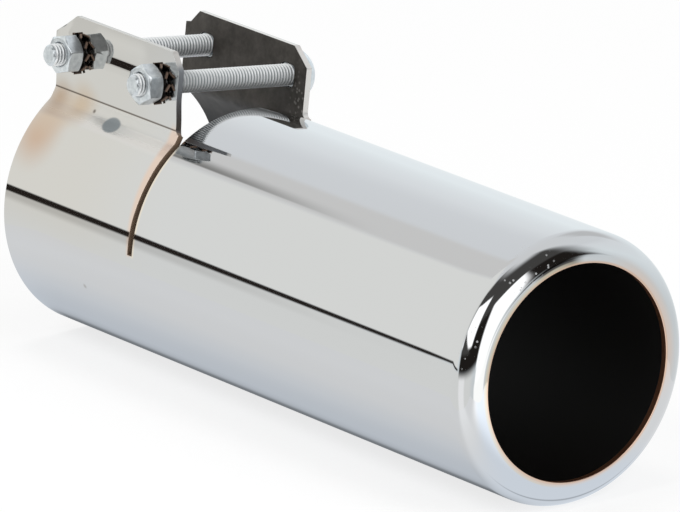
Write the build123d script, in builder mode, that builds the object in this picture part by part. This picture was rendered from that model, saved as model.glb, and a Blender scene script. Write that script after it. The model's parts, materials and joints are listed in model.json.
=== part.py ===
from build123d import *
import os
from math import asin, degrees, radians, sqrt, tan

# Clamp-on exhaust tip: a plated steel tube with a turned-in lip and a split clamp cut from its own wall.
# The tube's axis is X, from the open rear end at the origin to the outlet.
# Two flaps of the wall are folded up at the rear as clamping ears, at the top (+Z).
# Two bolts along Y join the ears, heads on the far side (+Y) and nuts on the near side (-Y).

# Tube and lip
tube_diameter = 60.0
wall = 1.5
tip_length = 166.5
lip_bend = 5.0
lip_flat = 1.2

# Split clamp at the rear: a saw cut frees the band, which stays joined to the tube below the axis
band_length = 46.4
slit_width = 1.6
slit_floor = -1.4

# Ears, folded up from the wall on either side of the gap
ear_gap = 33.6
ear_shift = -1.0
ear_setback = 1.4
fold_radius = 3.0
ear_height = 18.0
far_ear_drop = 1.0

# Snipped corners of the ears: their run along X and drop along Z
near_rear_run = 6.3
near_rear_drop = 4.6
near_front_run = 2.9
near_front_drop = 3.8
far_rear_step = 1.7
far_rear_rise = 0.3
far_rear_run = 3.0
far_rear_drop = 3.0
far_front_run = 5.1
far_front_drop = 4.1

# Bolts, placed from the ears' rear and front edges and from the near ear's top
bolt_diameter = 5.0
rear_stick_out = 2.8
front_stick_out = 1.9
bolt_tip_chamfer = 0.6
rear_bolt_inset = 8.05
front_bolt_inset = 6.95
bolt_drop = 8.0
head_diameter = 12.0
head_height = 4.7
head_rim = 0.6
neck_length = 1.2

# Nuts with a chamfer at both ends, each turned as it was left: degrees from X to a corner
nut_width = 8.0
nut_height = 3.9
nut_sides = 6
nut_face_inset = 0.5
nut_chamfer_angle = 30.0
rear_nut_turn = 16.0
front_nut_turn = 31.0

# Toothed lock washers between the nuts and the near ear
washer_diameter = 9.2
washer_rim_diameter = 7.2
washer_height = 1.4
washer_sheet = 0.6
tooth_count = 10
tooth_width = 0.9
tooth_lean = 0.7

# Clearances
bolt_hole_clearance = 0.5
neck_clearance = 0.3
thread_clearance = 0.1
washer_clearance = 0.3

# Places worked out from the sizes above
tube_radius = tube_diameter / 2
middle_radius = tube_radius - wall / 2
outlet_radius = tube_radius - lip_bend - lip_flat
fold_middle = fold_radius + wall / 2
near_inner = ear_shift - ear_gap / 2
far_inner = ear_shift + ear_gap / 2
near_outer = near_inner - wall
far_outer = far_inner + wall
ear_length = band_length - ear_setback


def fold_angle(face):
    """Degrees from the top at which the wall leaves the tube's circle to fold up to an ear's outer face."""
    return degrees(asin((abs(face) + fold_radius) / (tube_radius + fold_radius)))


def fold_top(face):
    """Height at which the fold ends and the ear's flat begins."""
    return sqrt((tube_radius + fold_radius) ** 2 - (abs(face) + fold_radius) ** 2)


near_angle = fold_angle(near_outer)
far_angle = fold_angle(far_outer)
near_fold_top = fold_top(near_outer)
far_fold_top = fold_top(far_outer)
near_ear_top = near_fold_top + ear_height
far_ear_top = near_ear_top - far_ear_drop
bolt_height = near_ear_top - bolt_drop
rear_bolt_x = rear_bolt_inset
front_bolt_x = ear_length - front_bolt_inset
bolt_places = [(rear_bolt_x, bolt_height), (front_bolt_x, bolt_height)]
bolt_grip = far_outer - near_outer + washer_height + nut_height

# Corners of the ears from the rear edge, over the top, to the front edge
near_corners = [
    (0, near_ear_top - near_rear_drop),
    (near_rear_run, near_ear_top),
    (ear_length - near_front_run, near_ear_top),
    (ear_length, near_ear_top - near_front_drop),
]
far_corners = [
    (0, far_ear_top - far_rear_drop - far_rear_rise),
    (far_rear_step, far_ear_top - far_rear_drop),
    (far_rear_step + far_rear_run, far_ear_top),
    (ear_length - far_front_run, far_ear_top),
    (ear_length, far_ear_top - far_front_drop),
]

# Tube with the turned-in lip, and the band with its ears, all of one wall
with BuildPart() as tip_tube:
    # Tube wall in front of the band, revolved, with its lip turned in towards the axis
    with BuildSketch(Plane.XZ):
        with BuildLine():
            Line((band_length, middle_radius), (tip_length - lip_bend, middle_radius))
            lip = CenterArc((tip_length - lip_bend, tube_radius - lip_bend), lip_bend - wall / 2, 90, -90)
            Line(lip @ 1, (tip_length - wall / 2, outlet_radius))
        trace(line_width=wall)
    revolve(axis=Axis.X)

    # Band: one strip of wall from the near ear, round below the axis, to the far ear
    with BuildSketch(Plane.YZ):
        with BuildLine():
            Line((near_outer + wall / 2, near_ear_top), (near_outer + wall / 2, near_fold_top))
            CenterArc((near_outer - fold_radius, near_fold_top), fold_middle, 0, near_angle - 90)
            CenterArc((0, 0), middle_radius, 90 + near_angle, 360 - near_angle - far_angle)
            CenterArc((far_outer + fold_radius, far_fold_top), fold_middle, 180, 90 - far_angle)
            Line((far_outer - wall / 2, far_fold_top), (far_outer - wall / 2, far_ear_top))
        trace(line_width=wall)
    extrude(amount=band_length)

    # Saw cut across the tube, down to just below the axis
    with BuildSketch(Plane.YZ.offset(band_length)):
        with Locations((0, slit_floor)):
            Rectangle(2 * tube_diameter, 2 * tube_diameter, align=(Align.CENTER, Align.MIN))
    extrude(amount=slit_width, mode=Mode.SUBTRACT)

    # Ears: what is snipped off their corners and front edges, with a small fillet at the front edge's foot
    for fold, corners, reach in (
        (near_fold_top, near_corners, tube_diameter),
        (far_fold_top, far_corners, -tube_diameter),
    ):
        with BuildSketch(Plane.XZ):
            with Locations((0, fold)):
                Rectangle(band_length, tube_diameter, align=(Align.MIN, Align.MIN))
            with BuildLine():
                foot = (ear_length, fold + ear_setback)
                Polyline((band_length, fold), (0, fold), *corners, foot)
                RadiusArc(foot, (band_length, fold), -ear_setback)
            make_face(mode=Mode.SUBTRACT)
        extrude(amount=reach, mode=Mode.SUBTRACT)

    # Round bolt holes in the near ear, square ones for the bolts' necks in the far ear
    with BuildSketch(Plane.XZ):
        with Locations(*bolt_places):
            Circle((bolt_diameter + bolt_hole_clearance) / 2)
    extrude(amount=tube_diameter, mode=Mode.SUBTRACT)
    with BuildSketch(Plane.XZ):
        with Locations(*bolt_places):
            Rectangle(bolt_diameter + neck_clearance, bolt_diameter + neck_clearance)
    extrude(amount=-tube_diameter, mode=Mode.SUBTRACT)

# Bolts of one kind, each as long as it sticks out of its nut
dome_height = head_height - head_rim
dome_radius = ((head_diameter / 2) ** 2 + dome_height**2) / (2 * dome_height)


def clamp_bolt(stick_out):
    """One bolt: domed head, square neck in the far ear, round shank with a chamfered tip."""
    with BuildPart() as bolt:
        with BuildSketch(Plane.XY):
            with BuildLine():
                Polyline((0, head_height), (0, 0), (head_diameter / 2, 0), (head_diameter / 2, head_rim))
                RadiusArc((head_diameter / 2, head_rim), (0, head_height), -dome_radius)
            make_face()
        revolve(axis=Axis.Y)
        with BuildSketch(Plane.XZ):
            Rectangle(bolt_diameter, bolt_diameter)
        extrude(amount=neck_length)
        with BuildSketch(Plane.XZ):
            Circle(bolt_diameter / 2)
        extrude(amount=bolt_grip + stick_out)
        chamfer(bolt.edges().group_by(Axis.Y)[0], bolt_tip_chamfer)
    return bolt.part


with BuildPart() as clamp_bolts:
    for (x, z), stick_out in zip(bolt_places, (rear_stick_out, front_stick_out)):
        with Locations((x, far_outer, z)):
            add(clamp_bolt(stick_out))

# One nut, standing on its bearing face, with both ends turned to a shallow cone
nut_corner_radius = nut_width / sqrt(3)
nut_face_radius = (nut_width - nut_face_inset) / 2
cone_drop = (nut_corner_radius - nut_face_radius) * tan(radians(nut_chamfer_angle))
with BuildPart() as nut:
    with BuildSketch(Plane.XZ):
        RegularPolygon(nut_corner_radius, nut_sides)
        Circle((bolt_diameter + thread_clearance) / 2, mode=Mode.SUBTRACT)
    extrude(amount=nut_height)
    with BuildSketch(Plane.XY):
        with BuildLine():
            Polyline(
                (0, 0),
                (nut_face_radius, 0),
                (nut_corner_radius, -cone_drop),
                (nut_corner_radius, cone_drop - nut_height),
                (nut_face_radius, -nut_height),
                (0, -nut_height),
                close=True,
            )
        make_face()
    revolve(axis=Axis.Y, mode=Mode.INTERSECT)

nut_seat = near_outer - washer_height
with BuildPart() as clamp_nuts:
    with Locations(
        Location((rear_bolt_x, nut_seat, bolt_height), (0, -rear_nut_turn, 0)),
        Location((front_bolt_x, nut_seat, bolt_height), (0, -front_nut_turn, 0)),
    ):
        add(nut.part)

# One lock washer: a flat rim at mid height, and slanted teeth that bite the ear and the nut
rim_inner_radius = (bolt_diameter + washer_clearance) / 2
tooth_root = (rim_inner_radius + washer_rim_diameter / 2) / 2
with BuildPart() as washer:
    with BuildSketch(Plane.XZ.offset((washer_height - washer_sheet) / 2)):
        Circle(washer_rim_diameter / 2)
        Circle(rim_inner_radius, mode=Mode.SUBTRACT)
    extrude(amount=washer_sheet)
    for tooth in range(tooth_count):
        spoke = Plane((0, 0, 0), x_dir=(0, 1, 0), z_dir=(1, 0, 0)).rotated((0, tooth * 360 / tooth_count, 0))
        with BuildSketch(spoke.offset(tooth_root)):
            with BuildLine():
                Polyline(
                    (0, (tooth_lean - tooth_width) / 2),
                    (0, (tooth_lean + tooth_width) / 2),
                    (-washer_height, (tooth_width - tooth_lean) / 2),
                    (-washer_height, -(tooth_lean + tooth_width) / 2),
                    close=True,
                )
            make_face()
        extrude(amount=washer_diameter / 2 - tooth_root)

with BuildPart() as lock_washers:
    with Locations(*[(x, near_outer, z) for x, z in bolt_places]):
        add(washer.part)

os.makedirs("parts", exist_ok=True)
tip_tube.part.label = "tip_tube"
export_step(tip_tube.part, "parts/tip_tube.step")
clamp_bolts.part.label = "clamp_bolts"
export_step(clamp_bolts.part, "parts/clamp_bolts.step")
clamp_nuts.part.label = "clamp_nuts"
export_step(clamp_nuts.part, "parts/clamp_nuts.step")
lock_washers.part.label = "lock_washers"
export_step(lock_washers.part, "parts/lock_washers.step")
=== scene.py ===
# %% [markdown]
# # A chromed clamp-on exhaust tip
#
# The real tip is one steel sheet, rolled to a tube, turned in at the outlet and split at the rear, where two flaps of
# the wall stand up as clamping ears. Two bolts with nuts and toothed washers draw the ears together.
# This lesson loads the measured solids as a fixed frame and dresses each of them with a smooth surface worked out
# with numpy. Chrome shows every facet, so the surfaces come from formulas and not from the solids' triangles.

# %% Load the frame
import json

import bmesh
import bpy
import numpy as np
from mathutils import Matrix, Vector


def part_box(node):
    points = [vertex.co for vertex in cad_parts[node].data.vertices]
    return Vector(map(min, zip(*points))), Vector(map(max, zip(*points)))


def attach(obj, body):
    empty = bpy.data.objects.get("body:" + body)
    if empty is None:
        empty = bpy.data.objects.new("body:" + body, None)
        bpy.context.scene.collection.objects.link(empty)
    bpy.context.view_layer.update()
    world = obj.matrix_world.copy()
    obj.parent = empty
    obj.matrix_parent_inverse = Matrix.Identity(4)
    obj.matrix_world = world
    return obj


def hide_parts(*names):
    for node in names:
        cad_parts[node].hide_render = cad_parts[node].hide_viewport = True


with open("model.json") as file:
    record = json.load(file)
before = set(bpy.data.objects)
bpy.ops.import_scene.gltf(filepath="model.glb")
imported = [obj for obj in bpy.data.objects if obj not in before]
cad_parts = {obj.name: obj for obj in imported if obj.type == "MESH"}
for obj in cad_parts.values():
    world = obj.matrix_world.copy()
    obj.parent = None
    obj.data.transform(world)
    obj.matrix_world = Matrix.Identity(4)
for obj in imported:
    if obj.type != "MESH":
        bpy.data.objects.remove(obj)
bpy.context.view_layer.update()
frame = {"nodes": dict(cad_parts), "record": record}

MM = 0.001
print("nodes", sorted(frame["nodes"]))

# %% [markdown]
# ## Sizes
#
# Most sizes can be measured on the frame: the tube's radius and length, where the bolts stand, where the ears' outer
# faces are. A few, such as the bend of the lip or the snipped corners of the ears, can't be told from a box, so they
# are written here once, in millimetres. Everything else is worked out from these.


# %% Measure the frame
def box_mm(node):
    """The lowest and highest corner of a node of the frame, in millimetres to a thousandth."""
    low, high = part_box(node)
    return np.round(np.array(low) / MM, 3), np.round(np.array(high) / MM, 3)


_, tube_high = box_mm("tip_tube")
bolt_low, bolt_high = box_mm("clamp_bolts")
nut_low, nut_high = box_mm("clamp_nuts")
washer_low, washer_high = box_mm("lock_washers")

tube_radius = tube_high[1]
tip_length = tube_high[0]
wall = tube_radius - frame["record"]["mounts"][0]["dims"]["r_mm"]
middle_radius = tube_radius - wall / 2

head_radius = (bolt_high[2] - bolt_low[2]) / 2
head_height = 4.7
bolt_height = (bolt_high[2] + bolt_low[2]) / 2
bolt_places = [bolt_low[0] + head_radius, bolt_high[0] - head_radius]

near_face = washer_high[1]
far_face = bolt_high[1] - head_height
near_ear_top = tube_high[2]
far_ear_drop = 1.0
far_ear_top = near_ear_top - far_ear_drop
print("tube", tube_radius, "wall", wall, "bolts at", bolt_places, "height", bolt_height, "ears", near_face, far_face)

# %% [markdown]
# ## A grid of points becomes a mesh
#
# Every shape below is a rectangular array of points, one row after another. Such a grid has the same faces whatever
# its shape, so one function lists them as quads. A grid with its faces is called a block here. Another function makes
# the mesh from blocks, melts points that coincide, and ties the new piece to the frame: it rides on the only body
# there is, and stands for one of the solids.


# %% Helpers for grids and pieces
WELD = 0.0005  # points closer than this many millimetres become one


def grid_faces(rows, columns, closed=False):
    """Quads between neighbours of a grid whose points are stored row by row.

    A closed grid's last row is joined to its first. A quad goes down a row before it goes along a column."""
    index = np.arange(rows * columns).reshape(rows, columns)
    if closed:
        index = np.vstack([index, index[:1]])
    return np.stack([index[:-1, :-1], index[1:, :-1], index[1:, 1:], index[:-1, 1:]], axis=-1).reshape(-1, 4)


def as_block(points, closed=False, caps=False):
    """Points and faces of one grid; caps are faces over its first and last row, where these return to their start."""
    rows, columns = points.shape[:2]
    faces = grid_faces(rows, columns, closed).tolist()
    if caps:
        faces += [list(range(first, first + columns - 1)) for first in (0, (rows - 1) * columns)]
    return points.reshape(-1, 3), faces


def join(blocks):
    """One list of points and one of faces from several (points, faces) blocks, each counted from its own zero."""
    starts = np.cumsum([0] + [len(points) for points, _ in blocks])
    faces = [(np.asarray(face) + start).tolist() for (_, group), start in zip(blocks, starts) for face in group]
    return np.concatenate([points for points, _ in blocks]), faces


def add_object(name, data):
    """A new object at the origin with this mesh, camera or lamp, in the scene."""
    thing = bpy.data.objects.new(name, data)
    bpy.context.scene.collection.objects.link(thing)
    return thing


def make_piece(name, blocks, node, closed=True, sharp=None):
    """A mesh object at the origin from blocks in millimetres, welded where points coincide.

    A closed shell has its faces turned outwards; an open sheet keeps the side its grid was laid with.
    Edges that turn by more than sharp degrees are drawn as edges, all others as smooth."""
    points, faces = join(blocks)
    mesh = bpy.data.meshes.new(name)
    mesh.from_pydata((points * MM).tolist(), [], faces)
    shell = bmesh.new()
    shell.from_mesh(mesh)
    bmesh.ops.remove_doubles(shell, verts=shell.verts, dist=WELD * MM)
    if closed:
        bmesh.ops.recalc_face_normals(shell, faces=shell.faces)
    shell.to_mesh(mesh)
    shell.free()
    mesh.shade_smooth()
    if sharp:
        mesh.set_sharp_from_angle(angle=np.radians(sharp))
    piece = add_object(name, mesh)
    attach(piece, "root")
    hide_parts(node)
    print(name, len(mesh.vertices), "points", len(mesh.polygons), "faces")
    return piece


# %% [markdown]
# ## The sheet: band and ears
#
# The band is the rear stretch of the tube. Cut across, it is one strip: down the near ear, round a small fold, round
# the tube below its axis, round the far fold and up the far ear. It could be bent from a flat plane with modifiers,
# but its path is only lines and arcs, so the middle of the sheet is worked out directly: one row of points for each
# step along the path, and one column for each step along the tube. The wall's thickness comes later.

# %% The band's path
band_length = 46.4
slit_width = 1.6
slit_floor = -1.4
fold_radius = 3.0
ear_setback = 1.4
ear_length = band_length - ear_setback
hole_block = 2.9

DEGREES_PER_ROW = 1.5
SNIP_ROWS, BLOCK_ROWS, FOOT_ROWS, FILLET_ROWS, FOLD_ROWS = 3, 24, 14, 10, 16
LOW_ROWS = 121
slit_angle = np.degrees(np.arccos(slit_floor / middle_radius))


def steps(start, end, count):
    """Evenly spaced values from start to end, without the last one."""
    return np.linspace(start, end, count, endpoint=False)


def chain(marks, counts):
    """Values from mark to mark, each stretch with its own count of even steps, and the last mark."""
    return np.concatenate([steps(a, b, n) for a, b, n in zip(marks, marks[1:], counts)] + [marks[-1:]])


def fold_angle(face):
    """Degrees from the top at which the wall leaves the circle and folds up to an ear's outer face."""
    return np.degrees(np.arcsin((abs(face) + fold_radius) / (tube_radius + fold_radius)))


def fold_top(face):
    """Height at which the fold ends and the ear's flat begins: the fold's centre."""
    return np.sqrt((tube_radius + fold_radius) ** 2 - (abs(face) + fold_radius) ** 2)


def ear_levels(face, top, snips):
    """Heights of an ear's rows, from its top down to the fold: lines at the snips, the hole's block and the foot."""
    foot = fold_top(face)
    marks = [top, *snips, bolt_height + hole_block, bolt_height - hole_block, foot + ear_setback]
    counts = [SNIP_ROWS] * (len(snips) + 1) + [BLOCK_ROWS, FOOT_ROWS]
    fillet = foot + ear_setback * (1 - np.sin(np.radians(steps(0, 90, FILLET_ROWS))))
    return np.concatenate([chain(marks, counts)[:-1], fillet])


def side_path(face, top, snips):
    """Middle of the sheet on one side, from the ear's top to the slit's end, as (sideways, height).

    Straight down the ear, an arc about the fold's centre, then the tube's circle to the slit's end."""
    levels = ear_levels(face, top, snips)
    ear = np.column_stack([np.full(len(levels), abs(face) - wall / 2), levels])
    turn = np.radians(steps(0, 90 - fold_angle(face), FOLD_ROWS))
    middle = fold_radius + wall / 2
    centre = np.array([abs(face) + fold_radius, fold_top(face)])
    fold = centre - middle * np.column_stack([np.cos(turn), np.sin(turn)])
    lean = np.radians(steps(fold_angle(face), slit_angle, round((slit_angle - fold_angle(face)) / DEGREES_PER_ROW)))
    circle = middle_radius * np.column_stack([np.sin(lean), np.cos(lean)])
    return np.concatenate([ear, fold, circle]), len(levels)


# Corners of the ears as (drop, run): how far below the ear's top, and how far in from its edge
NEAR_REAR, NEAR_FRONT = [(4.6, 0), (0, 6.3)], [(3.8, 0), (0, 2.9)]
FAR_REAR, FAR_FRONT = [(3.3, 0), (3.0, 1.7), (0, 4.7)], [(4.1, 0), (0, 5.1)]
near_snips = [near_ear_top - NEAR_FRONT[0][0], near_ear_top - NEAR_REAR[0][0]]
far_snips = [far_ear_top - FAR_REAR[1][0], far_ear_top - FAR_REAR[0][0]]
near_side, near_rows = side_path(near_face, near_ear_top, near_snips)
far_side, far_rows = side_path(far_face, far_ear_top, far_snips)
low_angles = np.linspace(slit_angle, 360 - slit_angle, LOW_ROWS)
low = middle_radius * np.column_stack([-np.sin(np.radians(low_angles)), np.cos(np.radians(low_angles))])
path = np.concatenate([near_side * [-1, 1], low, far_side[::-1]])
print("band path", len(path), "rows, of which", near_rows, "and", far_rows, "on the ears")

# %% [markdown]
# ## Snipped corners
#
# The ears' corners were snipped off by hand shears, each a little differently, and a small fillet joins each ear's
# front edge to the band. So every row of the strip has its own start and end along the tube. They are looked up by
# height, and the columns are spread between them in the same proportions, which keeps the grid regular.


# %% Ends of the rows, and the strip's points
def row_ends(face, top, rear, front, heights):
    """Where rows at these heights start and end along the tube.

    rear and front are the ear's corners; between them an edge is straight."""
    rear_drop, rear_run = np.array(rear).T
    front_drop, front_run = np.array(front).T
    start = np.interp(heights, top - rear_drop, rear_run)
    end = ear_length - np.interp(heights, top - front_drop, front_run)
    rise = np.clip(heights - fold_top(face), 0, ear_setback)
    fillet = np.sqrt(ear_setback**2 - (ear_setback - rise) ** 2)
    return start, end + ear_setback - fillet


near_ear, far_ear = slice(0, near_rows), slice(len(path) - far_rows, len(path))
starts = np.zeros(len(path))
ends = np.full(len(path), band_length)
starts[near_ear], ends[near_ear] = row_ends(near_face, near_ear_top, NEAR_REAR, NEAR_FRONT, path[near_ear, 1])
starts[far_ear], ends[far_ear] = row_ends(far_face, far_ear_top, FAR_REAR, FAR_FRONT, path[far_ear, 1])

rear_bolt, front_bolt = bolt_places
block_edges = [bolt + side * hole_block for bolt in bolt_places for side in (-1, 1)]
columns = chain([0, *block_edges, ear_length], [6, 10, 22, 10, 5])
share = columns / ear_length
strip = np.empty((len(path), len(share), 3))
strip[..., 0] = starts[:, None] + (ends - starts)[:, None] * share
strip[..., 1:] = path[:, None]
print("strip", strip.shape[:2], "from", starts.max(), "to", ends.max())

# %% [markdown]
# ## The near ear is not quite flat
#
# Bending and tightening have left their marks on the near ear. Its foot is pulled in, which makes a crease above the
# fold; its rear corner leans out; and a ripple runs between the nuts. Chrome magnifies all that: where the ripple's
# slope reaches five degrees, it mirrors the dark edge of the table as a streak. The depths are tenths of a millimetre.
# They fade out beside the washers, which still sit on a flat face, and at the ear's top and rear edges.

# %% Bow the near ear
crease_level = fold_top(near_face) + 0.95
crease_depth = 0.6
crease_rise = 7.7
crease_fall = 1.3
ripple_level = bolt_height + 1.09
ripple_half = 0.85
ripple_slope = 0.0875
ripple_reach = 5.0
ripple_fade = 3.0
edge_rest = 1.0
corner_lean = 0.5
corner_levels = [bolt_height - 5.0, bolt_height + 3.0]
washer_radius = (washer_high[2] - washer_low[2]) / 2


def smooth(value, low, high):
    """0 below low, 1 above high, and an S-shaped rise between them."""
    t = np.clip((value - low) / (high - low), 0, 1)
    return t * t * (3 - 2 * t)


bowed = strip[: near_rows + FOLD_ROWS]
along, level = bowed[..., 0].copy(), bowed[..., 2].copy()
above = 1 - smooth(level, crease_level, crease_level + crease_rise)
below = np.exp(-(((level - crease_level) / crease_fall) ** 2))
bowed[..., 1] += crease_depth * np.where(level > crease_level, above, below)

gap = [rear_bolt + washer_radius, front_bolt - washer_radius]
across = smooth(along, gap[0], gap[0] + ripple_fade) * (1 - smooth(along, gap[1] - ripple_fade, gap[1]))
off = level - ripple_level
ramp = np.clip(off, -ripple_half, ripple_half) * np.exp(-((off / ripple_reach) ** 2))
ramp *= smooth(near_ear_top - level, edge_rest, ripple_fade)
bowed[..., 1] += ripple_slope * across * ramp

corner = smooth(level, *corner_levels) * (1 - smooth(along, edge_rest, rear_bolt - washer_radius))
bowed[..., 1] -= corner_lean * corner
print("near ear bowed between", bowed[:near_rows, :, 1].min().round(2), "and", bowed[:near_rows, :, 1].max().round(2))

# %% [markdown]
# ## Bolt holes
#
# A hole in a grid is made by leaving out a square block of faces and filling the ring between the block's edge and
# the hole with a few rows that change from one outline to the other. A Boolean would cut it too, but would leave long
# thin triangles that chrome shows as scratches.

# %% Cut the bolt holes
near_hole_radius = 2.75
far_hole_half = 2.65
SQUARE_POWER = 4  # of a square with rounded corners: the higher, the sharper they are
RING_ROWS = np.linspace(0, 1, 4)


def block_slice(ear_rows, bolt):
    """First and last row and column of the block around a bolt: the grid lines nearest to its edges."""
    level = strip[ear_rows, 0, 2]
    rows = [ear_rows.start + np.argmin(abs(level - bolt_height - side * hole_block)) for side in (1, -1)]
    lines = [np.argmin(abs(columns - bolt - side * hole_block)) for side in (-1, 1)]
    return (*sorted(rows), *lines)


def hole_ring(block, bolt, square):
    """Rows from a block's edge inwards to a hole: round, or a square with well rounded corners like the bolt's neck."""
    edge = np.concatenate([block[0, :-1], block[:-1, -1], block[-1, :0:-1], block[:0:-1, 0]])
    arm = edge - [bolt, 0, bolt_height]
    arm[:, 1] = 0
    power = SQUARE_POWER if square else 2
    length = (arm**power).sum(axis=1) ** (1 / power)
    hole = edge - arm * (1 - (far_hole_half if square else near_hole_radius) / length)[:, None]
    ring = edge[:, None] + (hole - edge)[:, None] * RING_ROWS[:, None]
    return ring.reshape(-1, 3), grid_faces(len(edge), len(RING_ROWS), closed=True)[:, ::-1]


kept = np.ones((strip.shape[0] - 1, strip.shape[1] - 1), bool)
rings = []
for ear_rows, square in ((near_ear, False), (far_ear, True)):
    for bolt in bolt_places:
        top, bottom, left, right = block_slice(ear_rows, bolt)
        kept[top:bottom, left:right] = False
        rings.append(hole_ring(strip[top : bottom + 1, left : right + 1], bolt, square))
band = (strip.reshape(-1, 3), grid_faces(*strip.shape[:2])[kept.ravel()])
print("band faces", len(band[1]), "and", len(rings), "hole rings")

# %% [markdown]
# ## The tube and its turned-in lip
#
# In front of the saw cut the tube is a body of revolution: a straight wall, a quarter bend of small radius and a short
# flat ring round the outlet. Blender's Spin would turn the profile too; here the profile's points are simply carried
# round the axis as one array. Below the slit's ends, two short columns of faces join the tube to the band.

# %% The tube in front of the slit
lip_bend = 5.0
lip_flat = 1.2
TUBE_COLUMNS, BEND_COLUMNS, BRIDGE_COLUMNS, HIGH_ROWS = 14, 25, 3, 125
tube_start = band_length + slit_width
bend_start = tip_length - lip_bend
bend_middle = lip_bend - wall / 2

bend = np.radians(np.linspace(90, 0, BEND_COLUMNS))
profile = np.concatenate(
    [
        np.column_stack([steps(tube_start, bend_start, TUBE_COLUMNS), np.full(TUBE_COLUMNS, middle_radius)]),
        np.column_stack([bend_start + bend_middle * np.cos(bend), tube_radius - lip_bend + bend_middle * np.sin(bend)]),
        [[tip_length - wall / 2, tube_radius - lip_bend - lip_flat * s] for s in (0.5, 1.0)],
    ]
)


def turned(profile, angles):
    """A profile of (along, radius) pairs carried round the axis; an angle counts from the top to the near side."""
    lean = np.radians(angles)[:, None]
    along, radius = profile.T
    points = [along + 0 * lean, -radius * np.sin(lean), radius * np.cos(lean)]
    return np.stack(points, axis=-1)


high_angles = np.linspace(-slit_angle, slit_angle, HIGH_ROWS)[1:-1]
all_angles = np.concatenate([low_angles, high_angles + 360])
tube = as_block(turned(profile, all_angles), closed=True)
bridge_along = np.linspace(band_length, tube_start, BRIDGE_COLUMNS)
bridge_profile = np.column_stack([bridge_along, np.full(BRIDGE_COLUMNS, middle_radius)])
bridge = as_block(turned(bridge_profile, low_angles))

tip = make_piece("tip_tube_sheet", [band, *rings, tube, bridge], "tip_tube", closed=False)

# %% [markdown]
# ## Thickness and edges
#
# The sheet so far has no thickness. Solidify gives it its wall, half to each side, and marks the inside and the cut
# edges as separate surfaces, because only the outside is polished. Bevel then rounds the cut edges a little: no real
# edge is perfectly sharp, and it is the rounding that catches the light. Hardened normals keep the flats flat.

# %% Give the sheet its wall
edge_rounding = 0.12
edge_angle = 60.0
INSIDE, EDGE = 1, 2  # places of their materials; the outside's comes first

thickness = tip.modifiers.new("wall", "SOLIDIFY")
thickness.thickness = wall * MM
thickness.offset = 0
thickness.use_even_offset = True
thickness.use_quality_normals = True
thickness.material_offset = INSIDE
thickness.material_offset_rim = EDGE

rounding = tip.modifiers.new("cut edges", "BEVEL")
rounding.width = edge_rounding * MM
rounding.segments = 2
rounding.limit_method = "ANGLE"
rounding.angle_limit = np.radians(edge_angle)
rounding.use_clamp_overlap = False
rounding.harden_normals = True
print("wall", thickness.thickness, "edges rounded by", rounding.width)

# %% [markdown]
# ## Threaded bolts
#
# The bolts' shanks are rolled threads with a pitch of 0.8 mm. A thread is a profile carried along a helix: each row
# of this grid follows one line of the profile, such as the crest, round the shank while it climbs by one pitch a turn.
# The seam is closed by joining each row to the one a full turn later. Past the tip all rows are pressed on to a cone,
# which makes the chamfer, and at the other end, hidden in the neck, on to a cone again.

# %% Thread, neck and head
pitch = 0.8
thread_depth = 0.49
ROWS_PER_TURN = 8
SHANK_SIDES = 48
bolt_radius = 2.5
tip_chamfer = 0.6
neck_length = 1.2
neck_half = bolt_radius
neck_grip = 0.6  # how far the thread runs on inside the neck
head_rim = 0.6
rim_round = 0.15
HEAD_SIDES, DOME_ROWS = 96, 20
STICK_OUTS = [2.8, 1.9]


def shank(length):
    """A threaded rod standing on its tip: (radius, angle, height) arrays of its grid.

    Row by row the profile goes from crest to root and back: flat for an eighth of a pitch, then straight flanks.
    At both ends the rows run down a cone on to one ring."""
    turns = int(np.ceil(length / pitch)) + 2
    level = np.arange(turns * ROWS_PER_TURN)[:, None]
    around = np.arange(SHANK_SIDES + 1)[None, :] / SHANK_SIDES
    height = np.clip((level / ROWS_PER_TURN + around - 1) * pitch, 0, length)
    from_crest = np.abs((level / ROWS_PER_TURN + 7 / 16) % 1 - 0.5)
    groove = thread_depth * np.clip((from_crest - 1 / 16) / (6 / 16), 0, 1)
    radius = np.minimum(bolt_radius - groove, bolt_radius - tip_chamfer + height)
    radius = np.minimum(radius, bolt_radius - thread_depth + length - height)
    return np.broadcast_arrays(radius, 2 * np.pi * around, height)


def soft_polygon(angle, half_width, sides, power):
    """Radius of a regular polygon with rounded corners: a high power mean of the distances to its sides."""
    facing = 2 * np.pi * np.arange(sides) / sides
    reach = np.maximum(np.cos(angle[..., None] - facing), 0) / half_width
    return (reach**power).sum(axis=-1) ** (-1 / power)


def on_bolt_axis(radius, angle, across, bolt):
    """Points about a bolt's axis: angle counts from the tube's direction upwards, across is along the bolt."""
    points = [bolt + radius * np.cos(angle), across + 0 * radius, bolt_height + radius * np.sin(angle)]
    return np.stack(np.broadcast_arrays(*points), axis=-1)


def shank_block(bolt, stick_out):
    """The threaded shank from the bolt's tip into its neck, with its two end faces."""
    tip_level = nut_low[1] - stick_out
    radius, angle, height = shank(far_face - neck_length + neck_grip - tip_level)
    return as_block(on_bolt_axis(radius, angle, tip_level + height, bolt), caps=True)


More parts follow.
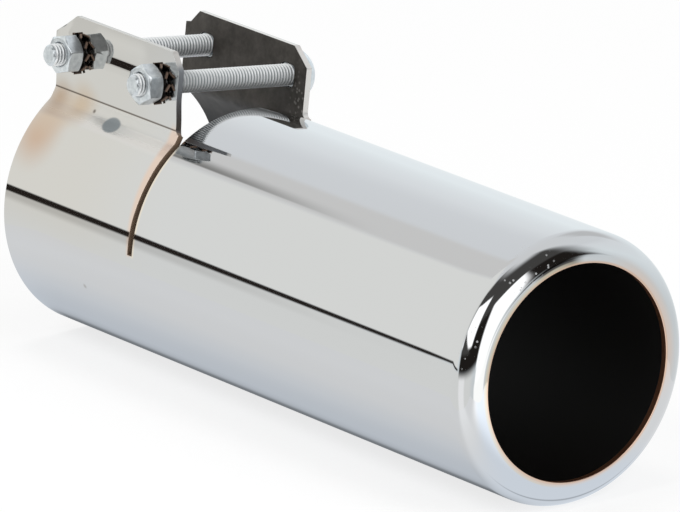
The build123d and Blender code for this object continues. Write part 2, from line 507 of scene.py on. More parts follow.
def head_block(bolt):
    """Domed head on a square neck: one profile whose outline changes from round to square under the head."""
    angle = np.linspace(0, 2 * np.pi, HEAD_SIDES + 1)[None, :]
    dome = head_height - head_rim
    dome_radius = (head_radius**2 + dome**2) / (2 * dome)
    slope = np.linspace(0, np.arcsin(head_radius / dome_radius), DOME_ROWS)
    dome_rows = [dome_radius * np.sin(slope), head_height - dome_radius * (1 - np.cos(slope))]
    rim_rows = [
        np.array([head_radius, head_radius, head_radius - rim_round, head_radius - 2 * rim_round]),
        np.array([head_rim - rim_round, rim_round, 0, 0]),
    ]
    round_part = np.hstack([dome_rows, rim_rows])
    # From a small fillet under the head along the neck's sides to a small bevel, and to the middle of its end
    neck_scale = np.array([1.02, 1.0, 1.0, 0.97, 0.0])[:, None]
    neck_level = np.array([0.0, -0.02, 0.1 - neck_length, -neck_length, -neck_length])
    neck = neck_scale * soft_polygon(angle, neck_half, 4, SQUARE_POWER)
    radius = np.vstack([round_part[0][:, None] + 0 * angle, neck])
    across = np.concatenate([round_part[1], neck_level])[:, None] + far_face
    return as_block(on_bolt_axis(radius, angle, across, bolt))


shanks = [shank_block(bolt, stick_out) for bolt, stick_out in zip(bolt_places, STICK_OUTS)]
heads = [head_block(bolt) for bolt in bolt_places]
bolts = make_piece("clamp_bolts_threaded", shanks + heads, "clamp_bolts", sharp=35)

# %% [markdown]
# ## Hexagon nuts
#
# A nut is a six-sided bar whose ends were turned to a shallow cone. Where the cone meets a flat side it leaves the
# curved edge that one knows from every nut. In a grid of (angle, profile) that curve comes by itself: the cone's height
# depends on how far out the hexagon reaches at each angle. Each nut is turned as it was left on the bolt.

# %% Nuts with turned ends
nut_half = 4.0
nut_face_radius = 3.75
nut_cone = np.tan(np.radians(30.0))
nut_bore = 2.55
nut_bevel = 0.35
face_round = [0.1, 0.02]  # inwards and down, at the rim of the end face
cone_round = [0.04, 0.06]  # inwards and down, where the cone meets a side
NUT_FLATS, NUT_POWER = 6, 70
NUT_SIDES = 192
NUT_TURNS = [16.0, 31.0]


def nut_block(bolt, turn):
    """One nut: bore, countersink, face, cone, side and the same again, as rows of a closed profile at each angle."""
    angle = np.linspace(0, 2 * np.pi, NUT_SIDES + 1)[None, :]
    outline = soft_polygon(angle - np.radians(turn + 180 / NUT_FLATS), nut_half, NUT_FLATS, NUT_POWER)
    height = nut_high[1] - nut_low[1]
    middle = (nut_high[1] + nut_low[1]) / 2
    drop = (outline - nut_face_radius) * nut_cone
    end = height / 2
    half = [
        (nut_bore, 0),
        (nut_bore, end - nut_bevel),
        (nut_bore + nut_bevel, end),
        (nut_face_radius - face_round[0], end),
        (nut_face_radius, end - face_round[1]),
        ((nut_face_radius + outline) / 2, end - drop / 2),
        (outline - cone_round[0], end - drop),
        (outline, end - drop - cone_round[1]),
        (outline, 0),
    ]
    rows = half + [(radius, -level) for radius, level in half[-2::-1]]
    radius = np.vstack([radius + 0 * angle for radius, _ in rows])
    level = np.vstack([level + 0 * angle for _, level in rows])
    return as_block(on_bolt_axis(radius, angle, middle + level, bolt))


nut_blocks = [nut_block(bolt, turn) for bolt, turn in zip(bolt_places, NUT_TURNS)]
nuts = make_piece("clamp_nuts_turned", nut_blocks, "clamp_nuts", sharp=25)

# %% [markdown]
# ## Toothed lock washers
#
# A lock washer is stamped from spring steel and its teeth are twisted, so that their corners bite into the nut and the
# ear. Each tooth is a rounded bar of flat section carried outwards along a spoke, and turned about the spoke on the
# way. The ten teeth differ only in the direction of their spoke, so one bar is worked out and turned ten times.

# %% Washers with twisted teeth
TEETH = 10
tooth_thickness = 0.5
tooth_width = 1.75
tooth_twist = 32.0
rim_inner = 2.65
rim_outer = 3.6
section_rounding = 0.08
tooth_root = 0.6  # how far inside the rim's edge a tooth starts
twist_start, twist_end = 0.4, 0.6  # inside the rim's edge, and short of the tooth's tip
RIM_SIDES = 96


def flat_section(width, thickness, rounding):
    """Outline of a flat bar with rounded corners: four quarter arcs, as (across, up) pairs."""
    quarter = np.radians(np.linspace(0, 90, 4))
    angle = np.concatenate([quarter + k * np.pi / 2 for k in range(4)])
    centre = np.repeat(np.array([[1, 1], [-1, 1], [-1, -1], [1, -1]]), 4, axis=0)
    size = np.array([width, thickness]) / 2 - rounding
    return centre * size + rounding * np.column_stack([np.cos(angle), np.sin(angle)])


def washer_blocks(bolt):
    """Rim and teeth of one washer, about its bolt's axis."""
    middle = (washer_high[1] + washer_low[1]) / 2
    rim = flat_section(rim_outer - rim_inner, tooth_thickness, section_rounding)
    around = np.linspace(0, 2 * np.pi, RIM_SIDES + 1)[:, None]
    rim_points = on_bolt_axis((rim_inner + rim_outer) / 2 + rim[:, 0], around, middle + rim[:, 1], bolt)
    blocks = [as_block(rim_points.transpose(1, 0, 2), closed=True)]

    bar = flat_section(tooth_width, tooth_thickness, section_rounding)
    reach = np.linspace(rim_outer - tooth_root, washer_radius, 9)
    twist = np.radians(tooth_twist) * smooth(reach, rim_outer - twist_start, washer_radius - twist_end)[:, None]
    side = bar[:, 0] * np.cos(twist) - bar[:, 1] * np.sin(twist)
    up = bar[:, 0] * np.sin(twist) + bar[:, 1] * np.cos(twist)
    out = np.sqrt(reach[:, None] ** 2 - side**2)
    for spoke in 2 * np.pi * np.arange(TEETH) / TEETH:
        along = out * np.cos(spoke) - side * np.sin(spoke)
        rise = out * np.sin(spoke) + side * np.cos(spoke)
        points = np.stack([bolt + along, middle + up, bolt_height + rise], axis=-1)
        blocks.append(as_block(np.concatenate([points, points[:, :1]], axis=1), caps=True))
    return blocks


bars = [block for bolt in bolt_places for block in washer_blocks(bolt)]
washers = make_piece("lock_washers_twisted", bars, "lock_washers", sharp=40)

# %% [markdown]
# ## Colours and nodes
#
# Colours are easiest to read as hex values from a picture, but shaders count in linear light, so one function turns
# the first into the second. Another adds a node: it sets the node's properties, then fills its inputs with values or
# with the outputs of other nodes. From these come masks, which multiply conditions on a point's place, and layers of
# colour, each laid over the last where its mask holds. Parts of a mesh could have materials of their own instead, but
# their borders would follow the faces; a mask may lie anywhere and fade.


# %% Helpers for materials
def linear(hex_colour):
    """An sRGB hex colour as linear red, green, blue and alpha: the sRGB curve undone channel by channel."""
    channel = np.array([int(hex_colour[k : k + 2], 16) for k in (1, 3, 5)]) / 255
    light = np.where(channel <= 0.04045, channel / 12.92, ((channel + 0.055) / 1.055) ** 2.4)
    return (*light.tolist(), 1.0)


def new_material(name):
    """An empty node material, and the tree to build in."""
    material = bpy.data.materials.new(name)
    material.use_nodes = True
    material.node_tree.nodes.clear()
    return material, material.node_tree


def add_node(tree, kind, inputs=None, **settings):
    """Adds a shader node, sets its properties, and gives each input a value or a link; returns the node's outputs."""
    node = tree.nodes.new("ShaderNode" + kind)
    for name, value in settings.items():
        setattr(node, name, value)
    for name, value in (inputs or {}).items():
        if isinstance(value, bpy.types.NodeSocket):
            tree.links.new(value, node.inputs[name])
        else:
            node.inputs[name].default_value = value
    return node.outputs


# %% Helpers for masks and layers
FACTOR, FIRST, SECOND, MIXED = 0, 6, 7, 2  # sockets of a Mix node that mixes colours


def object_place(tree):
    """A point's place in object coordinates, then how far it lies along, across and up."""
    place = add_node(tree, "TexCoord")["Object"]
    parts = add_node(tree, "SeparateXYZ", {"Vector": place})
    return place, parts["X"], parts["Y"], parts["Z"]


def where(tree, strength, conditions):
    """A mask: the strength times each condition, given as a value and the millimetres where it starts and is full."""
    mask = strength
    for value, start, full in conditions:
        limits = {"Value": value, "From Min": start * MM, "From Max": full * MM}
        holds = add_node(tree, "MapRange", limits, interpolation_type="SMOOTHSTEP")["Result"]
        mask = add_node(tree, "Math", {0: holds, 1: mask}, operation="MULTIPLY")["Value"]
    return mask


def lay_over(tree, colour, layers):
    """The colour with layers over it: each is a hex colour or an output, its strength, and where it holds."""
    for tint, strength, conditions in layers:
        top = linear(tint) if isinstance(tint, str) else tint
        inputs = {FACTOR: where(tree, strength, conditions), FIRST: colour, SECOND: top}
        colour = add_node(tree, "Mix", inputs, data_type="RGBA")[MIXED]
    return colour


# %% [markdown]
# ## Chrome
#
# The outside is bright chrome over polished steel. Chromium reflects about three fifths of the light, and what one
# sees is the room. The surface is not perfectly even: rolling and polishing leave long shallow waves, which make the
# mirrored edges swim a little. The band has been heated and handled, so its upper half is a touch warmer than the tube.
# Besides how far along, across and up a point lies, two more values tell where it is: its distance from the axis, and
# the way round the tube from the top.

# %% Polished chrome for the outside
wave_length = 45.0
wave_depth = 1.0

chrome, tree = new_material("bright_chrome_on_polished_steel")
place, x, y, z = object_place(tree)
flat = add_node(tree, "VectorMath", {0: place, 1: (0, 1, 1)}, operation="MULTIPLY")["Vector"]
radius = add_node(tree, "VectorMath", {0: flat}, operation="LENGTH")["Value"]
nearness = add_node(tree, "Math", {0: y, 1: -1.0}, operation="MULTIPLY")["Value"]
turn = add_node(tree, "Math", {0: nearness, 1: z}, operation="ARCTAN2")["Value"]
around = add_node(tree, "Math", {0: turn, 1: tube_radius * MM}, operation="MULTIPLY")["Value"]
wave_inputs = {"Vector": place, "Scale": 1 / (wave_length * MM), "Detail": 1.0, "Roughness": 0.4}
waves = add_node(tree, "TexNoise", wave_inputs)["Fac"]
swim = add_node(tree, "Bump", {"Height": waves, "Strength": 0.02, "Distance": wave_depth * MM})
colour = lay_over(tree, linear("#cbcccd"), [("#cbc9c5", 1.0, [(x, 60.0, 20.0), (around, 56.0, 46.0)])])
print(chrome.name, "waves of", wave_length, "mm")

# %% [markdown]
# ## Tints, stains and painted reflections
#
# Chrome is plated over copper. Where the layer is thin the copper tints it: along the slit's rear side and on the ring
# round the outlet. The slit's front side has a pale painted highlight, and the top of the ring a painted dark
# reflection. The flap below the ear is painted paler, as a painted brighter reflection, and a faint dark line along the
# tube that fades towards the outlet is a painted dark reflection. Each of these is a layer with conditions on the place
# along the tube, the distance from its axis or the way round it. A stain is a layer too, by the distance from its
# centre; the grey spot under the crease, longer than wide and with most of its shine lost, is a painted reflection of a
# bolt's end.

# %% Tinted edges and painted reflections
SLIT_SLANT = 0.1  # how much wider the tint at the slit grows per millimetre of height
slant = add_node(tree, "Math", {0: z, 1: SLIT_SLANT, 2: x}, operation="MULTIPLY_ADD")["Value"]
on_lip = (x, 158.0, 160.0)
above_slit_end = (z, -2.2, -1.2)
# The flap's painted brighter reflection, a painted dark reflection line along the tube, the slit's copper-tinted rear
# side and its front side's painted highlight, a painted dark reflection on top of the ring, and four tints of the ring
TINTS = [
    # painted brighter reflection: the flap below the near ear is lighter than the rest of the chrome
    ("#dcdad6", 1.0, [(x, 46.6, 46.3), (around, 26.2, 24.9), (around, 21.7, 22.1)]),
    # painted dark reflection: a faint dark line along the tube that fades towards the outlet
    ("#6a6a68", 0.9, [(x, 47.0, 48.0), (x, 125.0, 52.0), (around, 21.6, 24.2), (around, 24.5, 24.0)]),
    ("#dbc5b6", 0.9, [(slant, 45.2, 46.8), (x, 47.4, 47.0), (z, 27.5, 24.0), above_slit_end]),
    # painted highlight: a pale, slightly warm strip along the slit's front side
    ("#e3d8c8", 0.9, [(x, 47.4, 47.6), (x, 48.9, 48.3), (around, 18.0, 20.0), above_slit_end]),
    # painted dark reflection on top of the ring round the outlet
    ("#2e2825", 0.9, [on_lip, (radius, 25.9, 25.3), (around, 1.0, 6.0), (around, 19.0, 14.0)]),
    ("#d4c9b4", 0.8, [on_lip, (radius, 25.0, 24.6), (y, 2.0, -10.0)]),
    ("#ddc2b0", 0.6, [on_lip, (radius, 26.8, 24.4), (y, 4.0, 16.0), (z, -10.0, 4.0)]),
    ("#d9c2b0", 0.5, [on_lip, (radius, 25.0, 24.4), (z, -10.0, -20.0)]),
    ("#d6b49c", 0.8, [on_lip, (radius, 24.5, 24.0)]),
]
colour = lay_over(tree, colour, TINTS)
print(len(TINTS), "tints")

# %% Stains and a painted reflection
# Centre, radius, stretch along the tube, share that is even, colour, strength, and share of the shine lost
STAINS = [
    ((4.5, -25.6, 15.6), 10.0, 1.0, 0.0, "#c3ab98", 1.0, 0.0),
    ((5.0, -22.8, 19.6), 8.0, 1.0, 0.1, "#c6b4a2", 0.8, 0.0),
    ((3.0, -19.5, 23.3), 6.0, 1.0, 0.0, "#b39d88", 0.85, 0.0),
    ((11.0, -19.8, 23.2), 7.5, 1.0, 0.0, "#c4b19b", 0.9, 0.0),
    ((16.2, -19.6, 23.1), 0.7, 1.0, 0.2, "#5a5148", 0.8, 0.0),
    # painted reflection of a bolt's end: the grey, dulled spot under the crease
    ((24.2, -20.6, 21.8), 2.25, 1.4, 0.75, "#8b9295", 1.0, 0.85),
    ((28.3, -27.0, -13.1), 0.8, 1.0, 0.2, "#a9a6a2", 0.8, 0.0),
]
metal = 1.0
for centre, size, stretch, even, tint, strength, dull in STAINS:
    squeeze = np.array([1 / stretch, 1, 1])
    near = add_node(tree, "VectorMath", {0: place, 1: squeeze}, operation="MULTIPLY")["Vector"]
    reach = add_node(tree, "VectorMath", {0: near, 1: squeeze * centre * MM}, operation="DISTANCE")
    mask = where(tree, strength, [(reach["Value"], size, even * size)])
    colour = lay_over(tree, colour, [(tint, mask, [])])
    if dull:
        loss = add_node(tree, "Math", {0: mask, 1: dull}, operation="MULTIPLY")["Value"]
        metal = add_node(tree, "Math", {0: metal, 1: loss}, operation="SUBTRACT")["Value"]
print(len(STAINS), "stains")

# %% [markdown]
# ## Painted crease shade and dust
#
# A thin dark line in the crease of the near ear is painted shade. On the lip, tiny specks of dust stand out where the
# mirror is dark. A speck is not metal, so the mask that places it turns the shader's Metallic down: the same colour
# then scatters light and shows as a pale dot. The specks are the centres of the cells of a Voronoi pattern. Last, the
# flap that was bent is less glossy than the rest.


# %% Painted shade in the crease, dust on the lip
def scattered(tree, place, spacing):
    """Points some millimetres apart: how far a place is from the nearest one, and a random colour for that one."""
    cells = add_node(tree, "TexVoronoi", {"Vector": place, "Scale": 1 / (spacing * MM)})
    reach = add_node(tree, "Math", {0: cells["Distance"], 1: spacing * MM}, operation="MULTIPLY")
    return reach["Value"], cells["Color"]


crease_shade_half = 0.32
crease_shade_core = 0.08
off = add_node(tree, "Math", {0: z, 1: crease_level * MM}, operation="SUBTRACT")["Value"]
off = add_node(tree, "Math", {0: off}, operation="ABSOLUTE")["Value"]
# painted shade: a thin dark line along the crease of the near ear
colour = lay_over(tree, colour, [("#6d6258", 0.75, [(off, crease_shade_half, crease_shade_core), (y, -17.5, -18.5)])])

speck_radius = 0.3
speck_core = 0.18
CHANCE = 0.5
DUSTY = [((165.2, -15.0, 22.6), 8.0), ((164.6, -26.5, 9.4), 3.0), ((164.3, -28.2, 4.6), 3.0)]  # centre and reach
from_speck, random = scattered(tree, place, spacing=1.2)
rare = add_node(tree, "SeparateColor", {"Color": random})["Red"]
rare = add_node(tree, "Math", {0: rare, 1: CHANCE}, operation="GREATER_THAN")["Value"]
for centre, spread in DUSTY:
    reach = add_node(tree, "VectorMath", {0: place, 1: np.array(centre) * MM}, operation="DISTANCE")
    speck = where(tree, 0.8, [(from_speck, speck_radius, speck_core), (reach["Value"], spread, spread / 2)])
    dust = add_node(tree, "Math", {0: speck, 1: rare}, operation="MULTIPLY")["Value"]
    metal = add_node(tree, "Math", {0: metal, 1: dust}, operation="SUBTRACT")["Value"]

bent = where(tree, 1.0, [(x, 46.6, 46.2), (around, 25.5, 23.5), (around, 17.5, 19.0), (z, 25.2, 24.6)])
gloss = add_node(tree, "MapRange", {"Value": bent, "To Min": 0.035, "To Max": 0.3})["Result"]
finish = {"Base Color": colour, "Metallic": metal, "Roughness": gloss, "Normal": swim["Normal"]}
shader = add_node(tree, "BsdfPrincipled", finish)
add_node(tree, "OutputMaterial", {"Surface": shader["BSDF"]})
print("crease shade at", round(float(crease_level), 2), "mm, dust in", len(DUSTY), "places")

# %% [markdown]
# ## The inside and the cut edges
#
# The plating hardly reaches the inside of the tube: there the steel is dull and dark, and its nearly black colour is
# partly painted shade deep in the tube. The ears' inner faces were outside the tube in the bath, so they are a stained
# grey, with pale grains where the far ear's front edge is roughly plated. At the cut edges the finish depends on the
# place: dark in the slit, bare copper at the outlet, bluish steel at the near ear's front, and bright on the far ear.


# %% Dull steel inside
def clouds(tree, place, size, detail, roughness, low, high):
    """Noise with clouds of a size in millimetres, and a colour that runs between two (position, hex colour) ends."""
    inputs = {"Vector": place, "Scale": 1 / (size * MM), "Detail": detail, "Roughness": roughness}
    noise = add_node(tree, "TexNoise", inputs)["Fac"]
    colour = add_node(tree, "ValToRGB", {"Fac": noise})["Color"]
    for end, (position, tint) in zip(colour.node.color_ramp.elements, (low, high)):
        end.position = position
        end.color = linear(tint)
    return noise, colour


inside, tree = new_material("dull_unplated_steel")
place, x, y, z = object_place(tree)
_, stained = clouds(tree, place, 4.0, 6.0, 0.65, (0.35, "#38342f"), (0.75, "#5c5752"))
from_grain, _ = scattered(tree, place, spacing=1.1)
on_ear = [(z, 14.0, 24.0), (x, 48.0, 46.0)]
by_far_edge = [(x, 38.5, 43.5), (x, 47.0, 46.6), (y, 8.0, 12.0), (z, 20.0, 23.0), (z, 40.0, 30.0)]
layers = [(stained, 1.0, on_ear), ("#b4b0aa", 0.55, [(from_grain, 0.45, 0.15), *by_far_edge])]
# the nearly black base is the dull steel's colour and partly painted shade inside the tube
colour = lay_over(tree, linear("#14110f"), layers)
shader = add_node(tree, "BsdfPrincipled", {"Base Color": colour, "Metallic": 0.3, "Roughness": 0.6})
add_node(tree, "OutputMaterial", {"Surface": shader["BSDF"]})
print(inside.name, len(layers), "layers")

# %% Cut edges
edge, tree = new_material("sheared_edge_of_plated_steel")
place, x, y, z = object_place(tree)
# Colour, share of metal, and where: far ear, near ear's front and its lower part, slit's rear side and front, outlet
EDGE_COLOURS = [
    ("#dfdbd7", 0.9, [(y, -2.0, 2.0)]),
    ("#909296", 0.9, [(x, 43.5, 45.0), (y, 2.0, -2.0)]),
    ("#5b5450", 0.6, [(x, 43.5, 45.0), (y, 2.0, -2.0), (z, 35.0, 26.0)]),
    ("#8a7462", 0.2, [(x, 45.2, 45.6), (z, 26.5, 25.0)]),
    ("#d8d2c6", 0.9, [(x, 47.2, 47.6)]),
    ("#b07a5c", 0.9, [(x, 150.0, 155.0)]),
]
colour, metal = linear("#c9c5c0"), 0.9
for tint, share, conditions in EDGE_COLOURS:
    mask = where(tree, 1.0, conditions)
    colour = lay_over(tree, colour, [(tint, mask, [])])
    metal = add_node(tree, "MapRange", {"Value": mask, "To Min": metal, "To Max": share})["Result"]
shader = add_node(tree, "BsdfPrincipled", {"Base Color": colour, "Metallic": metal, "Roughness": 0.35})
add_node(tree, "OutputMaterial", {"Surface": shader["BSDF"]})

for material in (chrome, inside, edge):
    tip.data.materials.append(material)
print([material.name for material in tip.data.materials])

# %% [markdown]
# ## Zinc and blackened steel
#
# Bolts and nuts are zinc plated: a cool light grey with a satin gloss, a little cloudy. The threads are paler, because
# their many small crests scatter the light, and darker in the grooves, which is painted shade. The washers are
# blackened spring steel, almost black on the rolled faces and brown-grey on the sheared ends of the teeth. How deep a
# point lies in a groove, or how far out on its washer, is stored on the mesh as an attribute, which the material reads.


# %% Attributes for grooves and sheared ends
def places(piece):
    """The piece's points in millimetres, the index of the bolt that each is nearest to, and its distance from it."""
    points = np.empty(3 * len(piece.data.vertices))
    piece.data.vertices.foreach_get("co", points)
    points = points.reshape(-1, 3) / MM
    spans = np.stack([np.hypot(points[:, 0] - bolt, points[:, 2] - bolt_height) for bolt in bolt_places])
    return points, spans.argmin(axis=0), spans.min(axis=0)


def store(piece, name, values):
    """Writes one number for each point of the piece, as an attribute of that name."""
    piece.data.attributes.new(name, "FLOAT", "POINT").data.foreach_set("value", values)
    print(piece.name, name, "from", values.min().round(2), "to", values.max().round(2))


CREST = 0.3  # the groove attribute on a thread's crest; it is 1 at the bottom of a groove and 0 off the thread
groove_start, groove_full = 0.15, 0.45  # depths below the crest
sheared_start, sheared_full = 0.3, 0.1  # distances from a tooth's tip
points, nearest, span = places(bolts)
past_tip = points[:, 1] - nut_low[1] + np.array(STICK_OUTS)[nearest]
on_thread = (past_tip > tip_chamfer) & (points[:, 1] < far_face - neck_length - 0.01)
depth = smooth(bolt_radius - span, groove_start, groove_full)
store(bolts, "groove", on_thread * (CREST + (1 - CREST) * depth))
store(washers, "sheared", smooth(places(washers)[2], washer_radius - sheared_start, washer_radius - sheared_full))

# %% Fastener finishes
zinc, tree = new_material("bright_zinc_plate")
place = add_node(tree, "TexCoord")["Object"]
cloud, plate = clouds(tree, place, 1.2, 4.0, 0.5, (0.3, "#bfc5c9"), (0.7, "#e0e5e8"))
groove = add_node(tree, "Attribute", attribute_name="groove")["Fac"]
on_bolt = add_node(tree, "MapRange", {"Value": groove, "From Max": CREST})["Result"]
depth = add_node(tree, "MapRange", {"Value": groove, "From Min": CREST, "From Max": 1.0})["Result"]
# painted shade: the grooves' darker colour, deepest at the bottom of a groove
colour = lay_over(tree, plate, [("#f2f4f5", on_bolt, []), ("#8f9599", depth, [])])
metal = add_node(tree, "MapRange", {"Value": on_bolt, "To Min": 0.9, "To Max": 0.3})["Result"]
grain = add_node(tree, "Bump", {"Height": cloud, "Strength": 0.15, "Distance": 0.05 * MM})
finish = {"Base Color": colour, "Metallic": metal, "Roughness": 0.28, "Normal": grain["Normal"]}
shader = add_node(tree, "BsdfPrincipled", finish)
add_node(tree, "OutputMaterial", {"Surface": shader["BSDF"]})
bolts.data.materials.append(zinc)
nuts.data.materials.append(zinc)

black, tree = new_material("blackened_spring_steel")
bare = add_node(tree, "Attribute", attribute_name="sheared")["Fac"]
colour = lay_over(tree, linear("#1a1512"), [("#7d685b", bare, [])])
shader = add_node(tree, "BsdfPrincipled", {"Base Color": colour, "Metallic": 0.5, "Roughness": 0.42})
add_node(tree, "OutputMaterial", {"Surface": shader["BSDF"]})
washers.data.materials.append(black)
print(zinc.name, black.name)

# %% [markdown]
# ## Camera
#
# The photograph was taken from far away with a long lens, from in front of the outlet and a little above. The camera's
# place and turn were worked out from the outlines of the tube and its two ends.

# %% The camera
CAMERA_PLACE = (1733.15, -1309.74, 493.13)  # millimetres
CAMERA_TURN = (76.9015, -5.2908, 52.7929)  # degrees
PHOTO_WIDTH = 680
FOCAL_PIXELS = 10000

camera_data = bpy.data.cameras.new("camera")
camera_data.sensor_fit = "HORIZONTAL"
camera_data.sensor_width = 36.0
camera_data.lens = camera_data.sensor_width * FOCAL_PIXELS / PHOTO_WIDTH
camera = add_object("camera", camera_data)
camera.location = np.array(CAMERA_PLACE) * MM
camera.rotation_euler = np.radians(CAMERA_TURN)
bpy.context.scene.camera = camera
print("lens", camera_data.lens)

# %% [markdown]
# ## The studio that the chrome mirrors
#
# Chrome has hardly any colour of its own, so its look is the room's. The real room can be read from the mirror image
# in the lip: a dark room behind the camera with two bright soft boxes, light cards to the left and behind, and a thin
# dark line where the table ends. A dome with those tones stands round the object. Only mirror rays see it, and its
# directions count from the table, which the tip has rolled on by a few degrees.

# %% Directions of the level room
ROLL = np.radians(6.66)
LEVEL = np.array([[1, 0, 0], [0, np.cos(ROLL), np.sin(ROLL)], [0, -np.sin(ROLL), np.cos(ROLL)]])
DOME_RADIUS = 3000.0

# Finer where the table's edge lies
heights = np.concatenate([np.linspace(-40, -10, 21), np.linspace(-9, 4, 66), np.linspace(5, 90, 70)])
bearing, height = np.meshgrid(np.linspace(-180, 180, 241), heights)


def dome_points(bearing, height):
    """Points of a sphere: a bearing of 0 is the near side, 90 the outlet's side; height is above the table."""
    flat = np.cos(np.radians(height))
    level = [flat * np.sin(np.radians(bearing)), -flat * np.cos(np.radians(bearing)), np.sin(np.radians(height))]
    return DOME_RADIUS * np.stack(level, axis=-1) @ LEVEL


# %% Paint the dome
def window(value, low, high, blur):
    """1 between low and high, 0 outside, with both borders blurred."""
    return smooth(value, low - blur / 2, low + blur / 2) * (1 - smooth(value, high - blur / 2, high + blur / 2))


# Tones of the walls from the table upwards, as seen in the top of the tube
WALL_HEIGHTS = [-40, -11, -1, 9, 28, 36, 90]
WALL_TONES = np.array(
    [
        (1.00, 1.00, 1.00),
        (0.88, 0.93, 0.95),
        (0.96, 1.02, 1.05),
        (1.05, 1.12, 1.15),
        (1.03, 1.07, 1.10),
        (0.96, 0.99, 1.02),
        (0.94, 0.95, 0.96),
    ]
)
# Tone, bearings of the left and right border at table height, lean of each border, heights, and both blurs
CARDS = [
    ((1.00, 1.01, 0.99), (-100, 60), (0, 0), (-60, -2), (20, 3)),  # table on the near side
    ((0.74, 0.74, 0.72), (-100, -49), (0, 0), (-7, -2), (3, 4)),  # its shaded far strip
    ((1.22, 1.22, 1.22), (2, 29), (0, 0), (-32, -5), (8, 6)),  # a soft box's glare on it
    ((0.895, 0.89, 0.88), (-93, -73), (0, 0), (22, 64), (5, 16)),  # a dim wall at the rear
    ((1.075, 1.08, 1.05), (-73.3, -14), (0, 0), (-0.5, 62), (3, 2)),  # light card on the left
    ((0.76, 0.77, 0.78), (-178, -143), (0, 0), (26, 52), (14, 14)),  # grey card on the far side
    ((0.08, 0.078, 0.075), (-3, 126), (-0.3, 0.1), (6, 75), (20, 22)),  # dark room, upper part
    ((0.02, 0.017, 0.015), (-3, 128.3), (-0.3, -0.17), (-4, 30), (5, 8)),  # dark room, lower part
    ((0.02, 0.017, 0.015), (118.5, 125.0), (0, 0), (-11.5, 0), (3, 2)),  # its foot at the outlet's side
    ((1.8, 1.8, 1.8), (-11, 35), (0, 0), (14, 50), (5, 3)),  # near soft box
    ((0.08, 0.078, 0.075), (-3, 60.5), (-0.3, -2.75), (10, 26), (6, 4)),  # its lower corner, cut off
    ((0.08, 0.078, 0.075), (-3, -231), (-0.3, 5.0), (40, 56), (6, 4)),  # its upper corner, cut off
    ((1.8, 1.8, 1.8), (71.5, 112.5), (-0.27, -0.45), (-6, 33.5), (5, 3)),  # outlet's soft box
    ((1.7, 1.7, 1.68), (76, 112), (0, 0), (-15, -4), (5, 4)),  # its glare on the table
    ((1.6, 1.6, 1.57), (74, 121), (0, 0), (-24, -12.6), (5, 2)),  # and further down
]
light = np.stack([np.interp(height, WALL_HEIGHTS, channel) for channel in WALL_TONES.T], axis=-1)
for tone, (left, right), (left_lean, right_lean), (low, high), (side_blur, level_blur) in CARDS:
    sides = window(bearing, left + left_lean * height, right + right_lean * height, side_blur)
    cover = sides * window(height, low, high, level_blur)
    light += cover[..., None] * (np.array(tone) - light)

# The table's far edge: a dark line whose lower border rises towards the outlet, so that it grows thinner
EDGE_TONE = np.array((0.025, 0.020, 0.018))
EDGE_TOP = -0.1
edge_low = np.interp(bearing, [-51.64, -45.39], [-3.6, -1.6])
cover = window(bearing, -115, -10, 10) * window(height, edge_low, EDGE_TOP, 0.9)
light += cover[..., None] * (EDGE_TONE - light)
print("dome", light.shape, "mean light", light.mean().round(3))

# %% The dome
glow, tree = new_material("studio_cards")
tone = add_node(tree, "Attribute", attribute_name="light")["Color"]
emitter = add_node(tree, "Emission", {"Color": tone, "Strength": 1.0})
add_node(tree, "OutputMaterial", {"Surface": emitter["Emission"]})
glow.cycles.emission_sampling = "NONE"


def grid_mesh(name, points):
    """A mesh from one grid of points in millimetres."""
    mesh = bpy.data.meshes.new(name)
    points, faces = as_block(points * MM)
    mesh.from_pydata(points.tolist(), [], faces)
    return mesh


def mirrored(name, points, light):
    """A grid of painted light that only mirror rays see, from points in millimetres and a tone for each of them."""
    mesh = grid_mesh(name, points)
    tones = mesh.color_attributes.new("light", "FLOAT_COLOR", "POINT")
    tones.data.foreach_set("color", np.dstack([light, np.ones(points.shape[:2])]).ravel())
    mesh.materials.append(glow)
    card = add_object(name, mesh)
    card.visible_camera = card.visible_diffuse = card.visible_shadow = card.visible_transmission = False


mirrored("studio_dome", dome_points(bearing, height), light)

# %% [markdown]
# ## Floor, world and lamps
#
# The floor is a plain white disc. It glows a little by itself, so that it reads as white and still takes the soft
# shadow under the tube. In the mirror of the tube that shadow is deeper than it looks from the camera, so mirror rays
# see a painted table instead, which darkens and turns bluish towards the line where the tube touches it, with the
# soft boxes' glare in front of the outlet. The world is white where the camera, a mirror or glass looks at it. Three
# large soft lamps stand where the soft boxes are; mirrors don't see them, because the dome already shows the boxes.

# %% The table in the mirror
SHADE_DISTANCES = [0, 12.5, 13.5, 15, 18, 24, 30, 40, 60]  # from the line where the tube touches the table
SHADE_TONES = [0.2, 0.22, 0.34, 0.57, 0.70, 0.78, 0.87, 0.95, 1.0]
LIP_TONE, OUTLET_GLARE, NEAR_GLARE, CONTACT_SHADE = 1.05, 0.55, 0.17, 0.42
TABLE_HALF = 80.0
TABLE_LIFT = 0.02
TABLE_TINT = np.array([0.99, 1.0, 1.01])
SHADOW_TINT = np.array([-0.08, -0.02, 0.06])

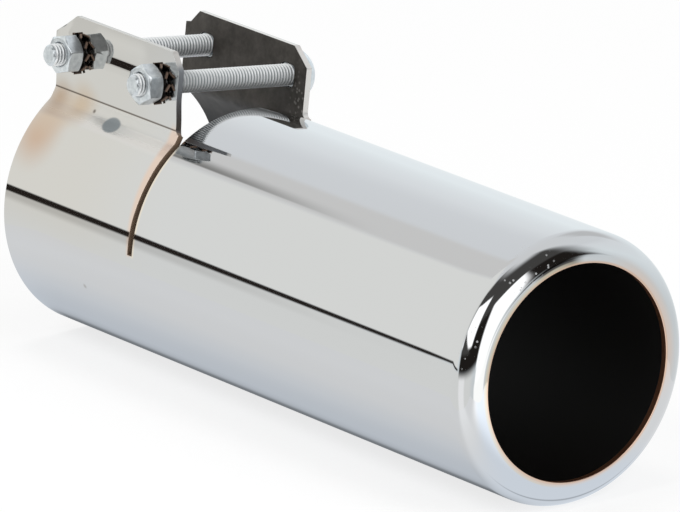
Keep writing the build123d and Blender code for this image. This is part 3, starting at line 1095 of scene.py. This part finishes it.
ahead = chain([-60 - tip_length, -14, 6, 80], [34, 80, 15])  # of the outlet
across = TABLE_HALF * np.sinh(3 * np.linspace(-1, 1, 81)) / np.sinh(3)
ahead, across = np.meshgrid(ahead, across)
beyond = np.maximum(np.maximum(-tip_length - ahead, ahead), 0)
shade = np.interp(np.hypot(across, beyond), SHADE_DISTANCES, SHADE_TONES)
shade += smooth(ahead, -14, 0) * (LIP_TONE - shade)  # the lip turns away from its shadow
shade += OUTLET_GLARE * smooth(ahead, 20, 75) * window(across, -45, 40, 30)  # the outlet's soft box
shade += NEAR_GLARE * window(ahead, -5, 27, 16) * smooth(-across, 25, 75)  # the near soft box
shade *= 1 - CONTACT_SHADE * window(ahead, -1.0, -0.3, 0.5) * window(across, -20, 30, 16)  # where the lip touches
tint = TABLE_TINT + SHADOW_TINT * (1 - smooth(abs(across), 14, 45))[..., None]
table = np.stack([tip_length + ahead, across, np.full(ahead.shape, TABLE_LIFT - tube_radius)], axis=-1) @ LEVEL
mirrored("table_in_the_mirror", table, shade[..., None] * tint)
print("table", shade.shape, "shade from", shade.min().round(2), "to", shade.max().round(2))

# %% Floor and world
FLOOR_RADIUS = 450.0
FLOOR_GLOW = 0.76
FLOOR_RINGS, FLOOR_SIDES = 10, 96
span = np.linspace(0, FLOOR_RADIUS, FLOOR_RINGS)[:, None]
turn = np.linspace(0, 2 * np.pi, FLOOR_SIDES + 1)
disc = np.broadcast_arrays(tip_length / 2 + span * np.cos(turn), span * np.sin(turn), -tube_radius)
floor_mesh = grid_mesh("floor", np.stack(disc, axis=-1) @ LEVEL)
floor = add_object("floor", floor_mesh)
floor.visible_glossy = False

paper, tree = new_material("white_paper")
matte = add_node(tree, "BsdfDiffuse", {"Color": linear("#949494")})
shine = add_node(tree, "Emission", {"Color": linear("#ffffff"), "Strength": FLOOR_GLOW})
both = add_node(tree, "AddShader", {0: matte["BSDF"], 1: shine["Emission"]})
add_node(tree, "OutputMaterial", {"Surface": both["Shader"]})
paper.cycles.emission_sampling = "NONE"
floor_mesh.materials.append(paper)

WORLD_LIGHT = 0.40
world = bpy.data.worlds.new("white_room")
bpy.context.scene.world = world
world.use_nodes = True
tree = world.node_tree
tree.nodes.clear()
rays = add_node(tree, "LightPath")
seen = rays["Is Camera Ray"]
for kind in ("Is Glossy Ray", "Is Transmission Ray"):
    seen = add_node(tree, "Math", {0: seen, 1: rays[kind]}, operation="MAXIMUM")["Value"]
strength = add_node(tree, "MapRange", {"Value": seen, "To Min": WORLD_LIGHT, "To Max": 1.0})["Result"]
back = add_node(tree, "Background", {"Color": linear("#ffffff"), "Strength": strength})
add_node(tree, "OutputWorld", {"Surface": back["Background"]})
print("floor", FLOOR_RADIUS, "mm, world", WORLD_LIGHT)

# %% Soft lamps
LAMP_SIZE = 0.9
LAMPS = {  # bearing and height in degrees, distance in metres, power in watts
    "soft_box_near": (8, 50, 2.4, 12.0),
    "soft_box_outlet": (95, 38, 1.6, 6.0),
    "soft_box_top": (-90, 80, 2.4, 8.0),
}
for name, (bearing_at, height_at, distance, power) in LAMPS.items():
    lamp_data = bpy.data.lights.new(name, "AREA")
    lamp_data.shape = "DISK"
    lamp_data.size = LAMP_SIZE
    lamp_data.energy = power
    lamp = add_object(name, lamp_data)
    lamp.location = dome_points(bearing_at, height_at) / DOME_RADIUS * distance
    lamp.rotation_euler = lamp.location.to_track_quat("Z", "Y").to_euler()
    lamp.visible_glossy = False
print(len(LAMPS), "lamps")

# %% [markdown]
# ## View
#
# The Standard view shows the painted tones as they are, where a filmic one would grey the whites.

# %% View
bpy.context.scene.view_settings.view_transform = "Standard"
